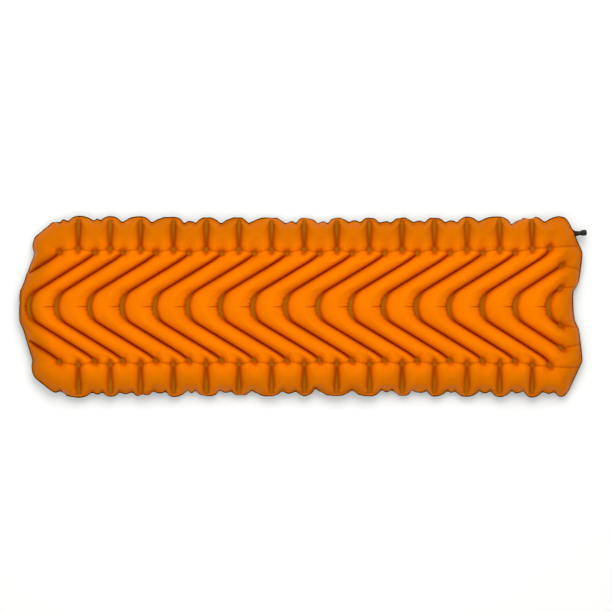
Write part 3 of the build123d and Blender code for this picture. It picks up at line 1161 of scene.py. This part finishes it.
@dataclass
class Puckers:
    """Geometry Nodes that wrinkle a sheet before the apexes, where the fabric is longer than its weld.

    The wrinkles run away from the weld: one long one at the apex, and short ones on either side of it.
    """

    spacing: float = 17 * MM
    height: float = 1.5 * MM
    reach: float = 20 * MM
    long_height: float = 2.4 * MM
    long_reach: float = 42 * MM
    long_width: float = 2.6 * MM
    root: float = 3 * MM  # they start from nothing this far from the weld
    wander: float = 0.9  # how unevenly the short ones are spaced
    sharpness: float = 9.0

    def tree(self, material: bpy.types.Material) -> bpy.types.NodeTree:
        """Build the node tree.

        Args:
            material: the sheet's material, set at the end of the tree.

        Returns:
            The node tree, with its sizes as named inputs.
        """
        tree = bpy.data.node_groups.new("Puckers", "GeometryNodeTree")
        tree.interface.new_socket("Geometry", in_out="INPUT", socket_type="NodeSocketGeometry")
        sizes = {
            "Spacing": self.spacing, "Height": self.height, "Reach": self.reach,
            "Long Height": self.long_height, "Long Reach": self.long_reach,
        }
        for name, value in sizes.items():
            socket = tree.interface.new_socket(name, in_out="INPUT", socket_type="NodeSocketFloat")
            socket.default_value = value
        tree.interface.new_socket("Geometry", in_out="OUTPUT", socket_type="NodeSocketGeometry")
        given = add_node(tree, "NodeGroupInput").outputs
        gap, turn, apex = [
            add_node(tree, "GeometryNodeInputNamedAttribute", {"data_type": "FLOAT"}, Name=name).outputs[0]
            for name in ("gap", "turn", "apex")
        ]

        def calculate(operation: str, first: object, second: object = 0.0) -> bpy.types.NodeSocket:
            return add_node(tree, "ShaderNodeMath", {"operation": operation}, _0=first, _1=second).outputs[0]

        def times(*factors: object) -> bpy.types.NodeSocket:
            result = factors[0]
            for factor in factors[1:]:
                result = calculate("MULTIPLY", result, factor)
            return result

        def fading(distance: object, reach: object) -> bpy.types.NodeSocket:
            return calculate("EXPONENT", times(calculate("DIVIDE", distance, reach), -1.0))

        away = calculate("MAXIMUM", gap, 0.0)
        root = calculate("MINIMUM", times(away, 1 / self.root), 1.0)
        noise = add_node(tree, "ShaderNodeTexNoise", {"noise_dimensions": "3D"}, Scale=30.0, Detail=1.0)
        evenly = calculate("DIVIDE", turn, given["Spacing"])
        turns = calculate("ADD", evenly, times(noise.outputs[0], self.wander))
        wave = calculate("ABSOLUTE", calculate("COSINE", times(turns, math.pi)))
        valley = calculate("POWER", wave, self.sharpness)
        short = times(valley, fading(away, given["Reach"]), given["Height"])
        off_line = calculate("DIVIDE", turn, self.long_width)
        line = calculate("EXPONENT", times(off_line, off_line, -1.0))
        long = times(line, fading(away, given["Long Reach"]), given["Long Height"])
        depth = times(calculate("ADD", short, long), times(root, apex))
        normal = add_node(tree, "GeometryNodeInputNormal").outputs[0]
        shift = add_node(tree, "ShaderNodeVectorMath", {"operation": "SCALE"}, Vector=normal,
                         Scale=times(depth, -1.0)).outputs[0]
        moved = add_node(tree, "GeometryNodeSetPosition", None, Geometry=given["Geometry"], Offset=shift)
        # The depth is kept as the pucker attribute, from which the finish paints shade into the puckers.
        noted = add_node(tree, "GeometryNodeStoreNamedAttribute", {"data_type": "FLOAT", "domain": "POINT"},
                         Geometry=moved.outputs[0], Name="pucker", Value=depth).outputs[0]
        real = add_node(tree, "GeometryNodeRealizeInstances", None, Geometry=noted).outputs[0]
        dressed = add_node(tree, "GeometryNodeSetMaterial", None, Geometry=real, Material=material).outputs[0]
        add_node(tree, "NodeGroupOutput", None, Geometry=dressed)
        return tree


@dataclass
class Sheet:
    """One of the pad's two sheets, as a piece of its own that stands for its frame node."""

    node: str
    slot: str
    finish: CoatedPolyester
    mesh: ClothMesh
    places: np.ndarray
    faces_up: bool
    thickness: float = 0.3 * MM
    puckers: Puckers = field(default_factory=Puckers)

    def build(self) -> bpy.types.Object:
        """Make the sheet from its inflated shape.

        Returns:
            The finished piece, riding on the pad's body.
        """
        faces = self.mesh.faces if self.faces_up else self.mesh.faces[:, ::-1]
        data = bpy.data.meshes.new(self.node)
        data.from_pydata(self.places.tolist(), [], faces.tolist())
        data.polygons.foreach_set("use_smooth", [True] * len(faces))
        self.store(data, faces)
        piece = add_object(self.node, data)
        self.gather(piece)
        wall = piece.modifiers.new("wall", "SOLIDIFY")
        wall.thickness = self.thickness
        wall.offset = 0
        piece.name = f"{self.node}_fabric"
        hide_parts(self.node)
        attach(piece, "pad")
        log.info("%s: %d faces before its thickness", piece.name, len(piece.data.polygons))
        return piece

    def store(self, data: bpy.types.Mesh, faces: np.ndarray) -> None:
        """Store what the finish and the puckers need by point, and the flat cut as the UV map."""
        mesh = self.mesh
        values = {
            "gap": mesh.gap, "turn": mesh.turn, "apex": mesh.apex, "broad": mesh.broad,
            "inner": mesh.inner, "rim": mesh.rim, "fold": mesh.fold,
        }
        for name, value in values.items():
            data.attributes.new(name, "FLOAT", "POINT").data.foreach_set("value", value.astype(np.float32))
        cut = data.uv_layers.new(name="flat cut")
        cut.data.foreach_set("uv", mesh.flat[faces.ravel()].astype(np.float32).ravel())

    def gather(self, piece: bpy.types.Object) -> None:
        """Smooth the piece, run the puckers on it and keep their result as its mesh."""
        smooth = piece.modifiers.new("smooth", "SUBSURF")
        smooth.levels = smooth.render_levels = 1
        smooth.use_limit_surface = False
        material = self.finish.build()
        modifier = piece.modifiers.new("puckers", "NODES")
        modifier.node_group = self.puckers.tree(material)
        graph = bpy.context.evaluated_depsgraph_get()
        evaluated = piece.evaluated_get(graph)
        made = bpy.data.meshes.new_from_object(evaluated, preserve_all_data_layers=True, depsgraph=graph)
        piece.modifiers.clear()
        piece.data = made


@dataclass
class Boot:
    """The valve's soft boot: a lens-shaped flange between the sheets that narrows to a round neck."""

    seat: ValveSeat
    finish: MouldedRubber
    bore: float = 5.7 * MM
    step: float = 1.0 * MM
    sides: int = 72

    def build(self) -> bpy.types.Object:
        """Make the boot.

        Returns:
            The finished piece, riding on the pad's body.
        """
        along = np.arange(-self.seat.half_length, self.seat.half_length + self.step / 2, self.step)
        half_width, half_height = self.seat.section(along)
        outer = [self.ring(*place) for place in zip(along, half_width, half_height)]
        inner = [self.ring(place, self.bore, self.bore) for place in along[::-1]]
        rings = outer + inner
        points = np.concatenate(rings)
        faces = []
        for number in range(len(rings)):
            this, following = number * self.sides, (number + 1) % len(rings) * self.sides
            for side in range(self.sides):
                beside = (side + 1) % self.sides
                faces.append((this + side, following + side, following + beside, this + beside))
        data = bpy.data.meshes.new("valve_boot_moulding")
        data.from_pydata(points.tolist(), [], faces)
        self.turn_out(data)
        data.polygons.foreach_set("use_smooth", [True] * len(faces))
        data.materials.append(self.finish.build())
        piece = add_object("valve_boot_moulding", data)
        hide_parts("valve_boot")
        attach(piece, "pad")
        log.info("%s: %d faces", piece.name, len(faces))
        return piece

    def ring(self, along: float, half_width: float, half_height: float) -> np.ndarray:
        """The points of one section: a lens where it is wide, round where it is as wide as high."""
        turn = np.linspace(0, 2 * math.pi, self.sides, endpoint=False)
        side, up = np.cos(turn), np.sin(turn)
        flatness = np.clip(half_width / half_height - 1, 0, 1)
        lens = np.sign(up) * (1 - np.abs(side) ** 2)
        across = half_width * side
        height = half_height * ((1 - flatness) * up + flatness * lens)
        axis = np.array(self.seat.axis)
        plan = np.array(self.seat.centre) + along * axis + across[:, None] * np.array([-axis[1], axis[0]])
        return np.column_stack([plan, self.seat.height + height])

    @staticmethod
    def turn_out(data: bpy.types.Mesh) -> None:
        """Make the faces point outwards."""
        work = bmesh.new()
        work.from_mesh(data)
        bmesh.ops.recalc_face_normals(work, faces=work.faces)
        work.to_mesh(data)
        work.free()


@dataclass
class Valve:
    """The screw valve: its boot, and its frame nodes, each with the finish of its real material."""

    frame: dict
    seat: ValveSeat
    plastic: MouldedPlastic = MouldedPlastic("moulded ABS, gloss black", "060606")
    boot: MouldedRubber = MouldedRubber("moulded TPU, black", "0A0908", 0.5)
    seal: MouldedRubber = MouldedRubber("silicone rubber, black", "0A0A0A", 0.35)

    def build(self) -> None:
        """Make the boot and give every frame node of the valve its material."""
        Boot(self.seat, self.boot).build()
        finishes = {
            "valve_cap": self.plastic,
            "valve_stem": self.plastic,
            "cap_clip": self.plastic,
            "plug_seal": self.seal,
            "stem_seal": self.seal,
        }
        made = {finish: finish.build() for finish in set(finishes.values())}
        for node, finish in finishes.items():
            piece = self.frame["nodes"][node]
            piece.data.materials.clear()
            piece.data.materials.append(made[finish])
            log.info("%s: %s", node, finish.name)


@dataclass
class Pad:
    """The pad's fabric: the flat pattern, inflated and split into its two sheets."""

    seat: ValveSeat
    pattern: FlatPattern = FlatPattern()
    size: float = 8 * MM
    # In both finishes the rail, shade and edge colours are painted shade; face and weld are the fabric's own
    # colours, and shine tints its reflections.
    upper: CoatedPolyester = CoatedPolyester(
        "coated polyester, orange", "E97500", "C86600", "8E1400", "9C6008", "321200", "FF8A1E",
    )
    lower: CoatedPolyester = CoatedPolyester(
        "coated polyester, charcoal", "4A4D50", "46494C", "1E2022", "3A3B33", "3A1600", "B8BCC2",
    )

    def build(self) -> list[bpy.types.Object]:
        """Mesh, inflate and place the pad, and make both sheets.

        Returns:
            The upper and the lower sheet.
        """
        mesh = Mesher(self.pattern, self.size).build()
        log.info("flat cut: %d points, %d triangles", len(mesh.flat), len(mesh.faces))
        upper, lower = Inflation(self.pattern, mesh).run(simulate=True)
        shape = PadShape(self.pattern, mesh, upper, lower)
        shape.fit()
        shape.seat_valve(self.seat)
        return [
            Sheet("top_sheet", "top_fabric", self.upper, mesh, shape.upper, True).build(),
            Sheet("bottom_sheet", "bottom_fabric", self.lower, mesh, shape.lower, False).build(),
        ]


# --------------------------------------------------------------------------------------------------- setting


@dataclass
class Studio:
    """A pale floor, soft light from above and a camera that looks straight down on the pad."""

    floor_half: float = 12.0
    lens: float = 100.0
    view_width: float = 1.989
    aim: tuple[float, float] = (0.0166, 0.0023)

    def build(self) -> None:
        """Make the floor, the lights, the world and the camera."""
        self.floor()
        self.world()
        self.light("key", (0.2, 1.9, 2.8), 2.4, 62.0)
        self.light("fill", (-0.6, -1.8, 3.0), 3.2, 18.0)
        self.camera()
        bpy.context.scene.view_settings.view_transform = "Standard"
        log.info("studio: floor, world, two lights and a camera")

    def floor(self) -> None:
        """A large flat floor under the pad."""
        half = self.floor_half
        data = bpy.data.meshes.new("floor")
        corner_points = [(-half, -half, 0), (half, -half, 0), (half, half, 0), (-half, half, 0)]
        data.from_pydata(corner_points, [], [(0, 1, 2, 3)])
        data.materials.append(PaintedBoard("matt white board", "F6F6F4").build())
        floor = add_object("floor", data)
        floor.location.z = -0.5 * MM

    def world(self) -> None:
        """Even light from all round."""
        world = bpy.data.worlds.new("studio")
        world.use_nodes = True
        sky = world.node_tree.nodes["Background"]
        sky.inputs["Color"].default_value = linear("FFFFFF")
        sky.inputs["Strength"].default_value = 0.75
        bpy.context.scene.world = world

    def light(self, name: str, place: tuple[float, float, float], size: float, power: float) -> None:
        """A square soft light at a place, turned towards the pad."""
        data = bpy.data.lights.new(name, "AREA")
        data.size = size
        data.energy = power
        lamp = add_object(name, data)
        lamp.location = place
        lamp.rotation_euler = (-Vector(place)).to_track_quat("-Z", "Y").to_euler()

    def camera(self) -> None:
        """A long lens straight above the pad, with +Y up in the picture."""
        data = bpy.data.cameras.new("camera")
        data.lens = self.lens
        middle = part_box("top_sheet")[0].z
        camera = add_object("camera", data)
        camera.location = (*self.aim, middle + self.view_width * self.lens / data.sensor_width)
        bpy.context.scene.camera = camera


def corners(box: tuple[Vector, Vector]) -> list[list[float]]:
    """A box's two corners as plain lists of numbers."""
    return [list(box[0]), list(box[1])]


def main() -> None:
    """Build the pad on the frame, with its valve and the studio."""
    logging.basicConfig(level=logging.INFO, format="%(name)s: %(message)s")
    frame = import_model()
    seat = ValveSeat.from_frame(frame)
    Studio().build()
    Pad(seat).build()
    Valve(frame, seat).build()


if __name__ == "__main__":
    main()
